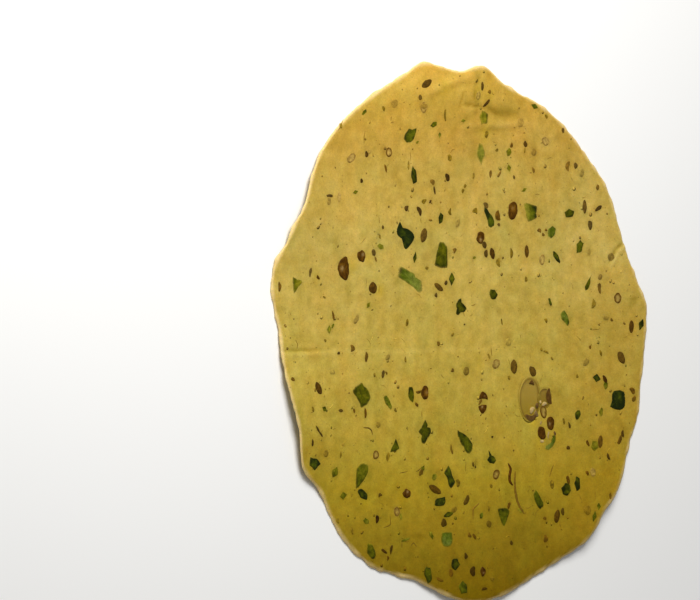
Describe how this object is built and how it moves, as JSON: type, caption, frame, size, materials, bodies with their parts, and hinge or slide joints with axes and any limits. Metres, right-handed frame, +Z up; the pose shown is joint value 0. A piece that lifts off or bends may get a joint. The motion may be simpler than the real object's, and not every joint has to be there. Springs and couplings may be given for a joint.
{
  "type": "green chilli papadum",
  "caption": "Thin round sheet of dried lentil dough with a wavy hand-rolled rim, set with green chilli flakes, crushed pepper and cumin.",
  "frame": {"origin": "middle of the box at the underside, on the surface the papadum lies on", "axes": "+Z up through the thin sheet; +Y towards the small double bump in the rim; the burst bubble lies towards +X and -Y"},
  "size_m": [0.1736, 0.1812, 0.0035],
  "materials": {
    "dough": "dried lentil dough, olive yellow, faintly glossy and slightly translucent",
    "chilli": "dried green chilli flakes pressed into the dough",
    "spice": "cumin seeds, crushed peppercorns and fine brown specks"
  },
  "bodies": {
    "root": {"papadum": "dough"}
  },
  "joints": []
}
